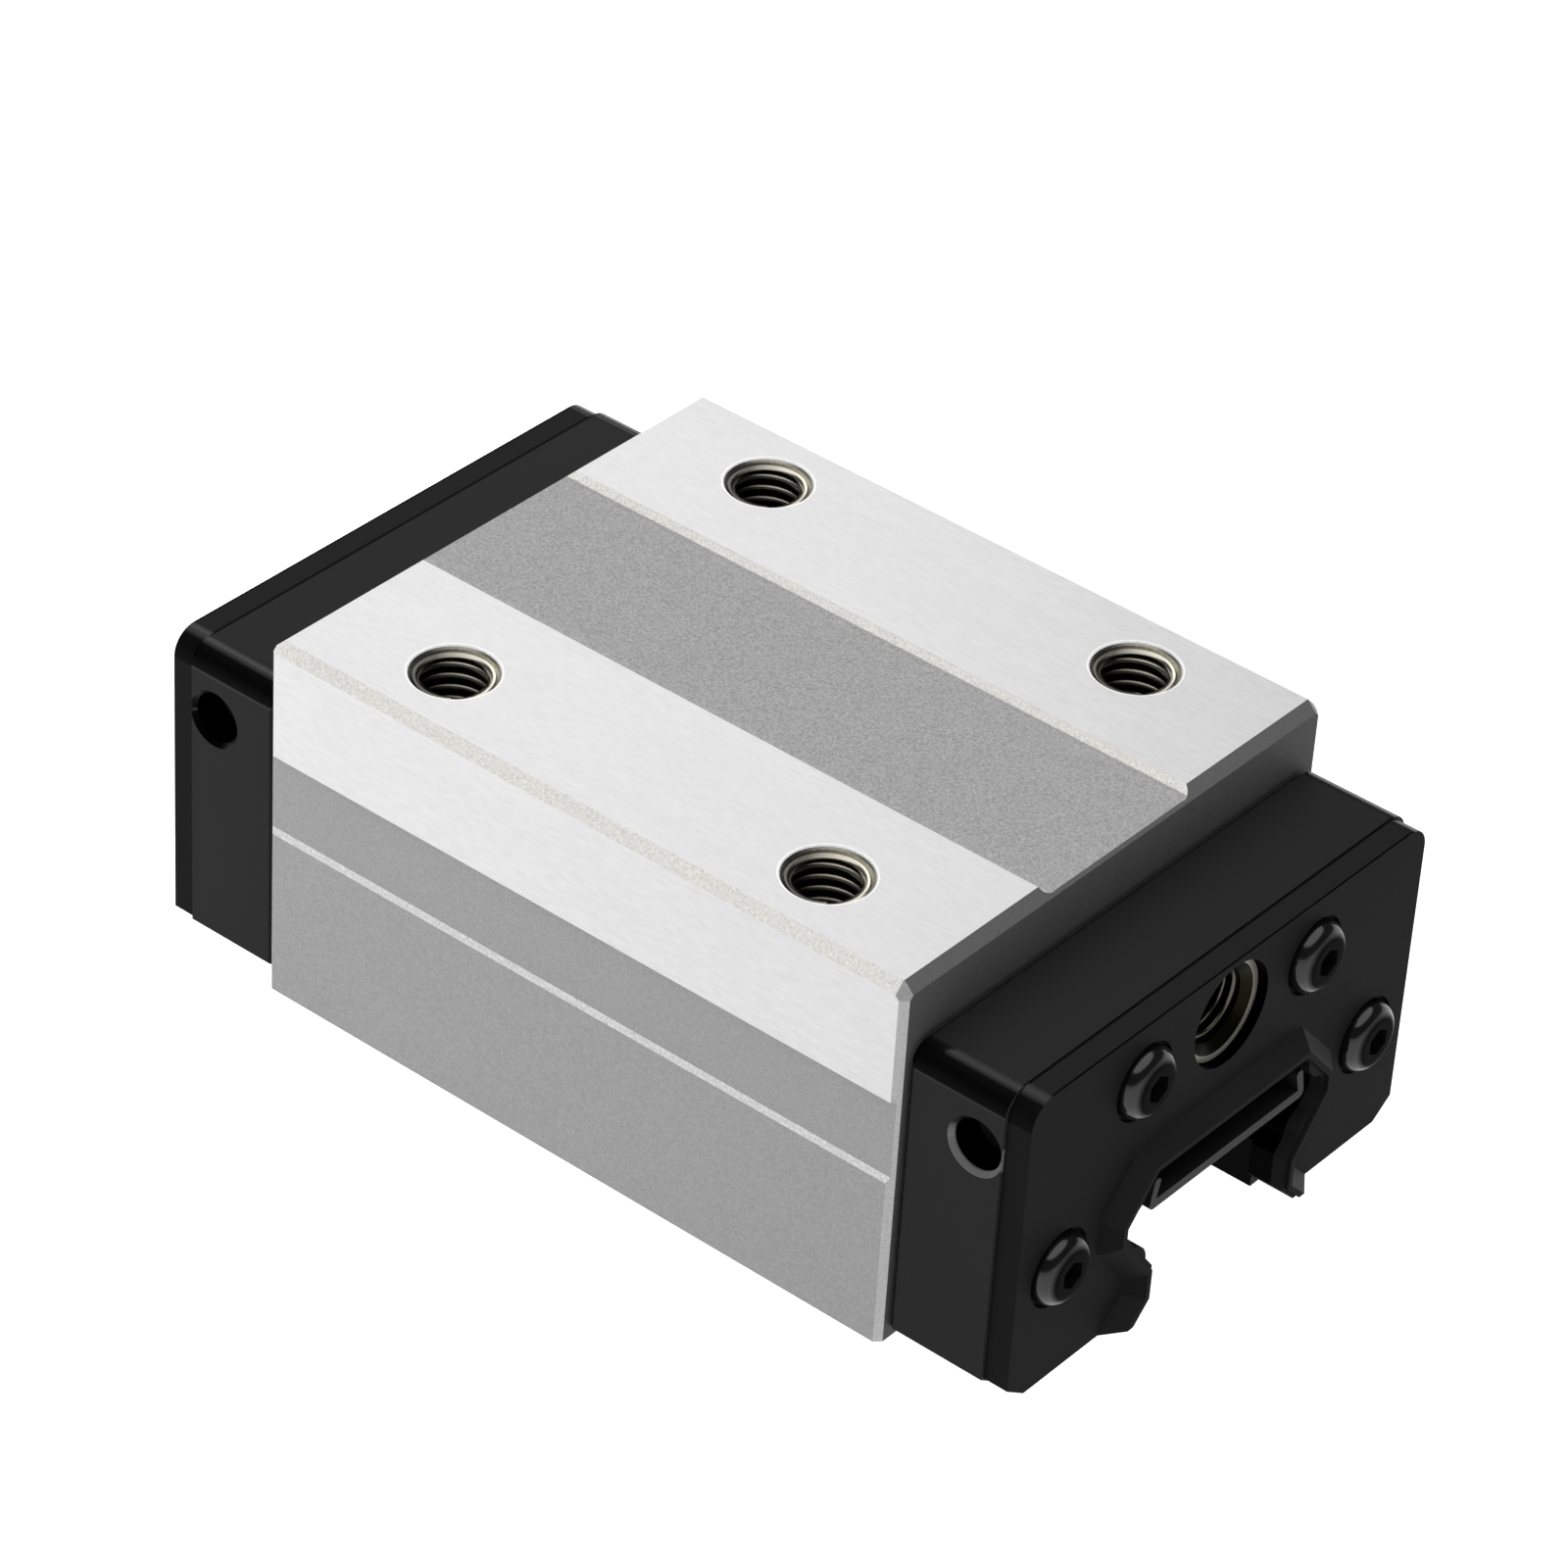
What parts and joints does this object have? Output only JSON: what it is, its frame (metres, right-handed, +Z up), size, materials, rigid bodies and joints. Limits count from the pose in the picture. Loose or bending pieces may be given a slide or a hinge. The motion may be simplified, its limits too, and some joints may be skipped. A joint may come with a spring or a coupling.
{
  "type": "linear guide block",
  "caption": "Square linear guide block: ground steel carriage with tapped top, black end caps and wiper seals, and recirculating ball rows",
  "frame": {"origin": "bottom centre of the block, on the underside of the steel carriage and end caps", "axes": "+X along the travel, towards the front end; +Y across it, to the right when looking at the front end; +Z up, out of the tapped mounting face"},
  "size_m": [0.0834, 0.048, 0.0315],
  "materials": {
    "carriage_steel": "ground lands, blasted sides",
    "cap_black": "smooth moulded, slight sheen",
    "seal_black": "matte moulded rubber",
    "screw_black": "black oxide, soft sheen",
    "insert_metal": "turned, dull",
    "keeper_grey": "dark grey folded strip",
    "retainer_grey": "pressed sheet",
    "guide_grey": "moulded",
    "ball_steel": "polished"
  },
  "bodies": {
    "root": {"ball_keeper_strip": "keeper_grey", "carriage_block": "carriage_steel", "front_cap_screws": "screw_black", "front_end_cap": "cap_black", "front_end_seal": "seal_black", "front_grease_insert": "insert_metal", "front_left_lower_turn_guide": "guide_grey", "front_left_upper_turn_guide": "guide_grey", "front_right_lower_turn_guide": "guide_grey", "front_right_upper_turn_guide": "guide_grey", "left_lower_balls": "ball_steel", "left_lower_retainer": "retainer_grey", "left_side_retainer": "retainer_grey", "left_upper_balls": "ball_steel", "rear_cap_screws": "screw_black", "rear_end_cap": "cap_black", "rear_end_seal": "seal_black", "rear_grease_insert": "insert_metal", "rear_left_lower_turn_guide": "guide_grey", "rear_left_upper_turn_guide": "guide_grey", "rear_right_lower_turn_guide": "guide_grey", "rear_right_upper_turn_guide": "guide_grey", "right_lower_balls": "ball_steel", "right_lower_retainer": "retainer_grey", "right_side_retainer": "retainer_grey", "right_upper_balls": "ball_steel"}
  },
  "joints": []
}
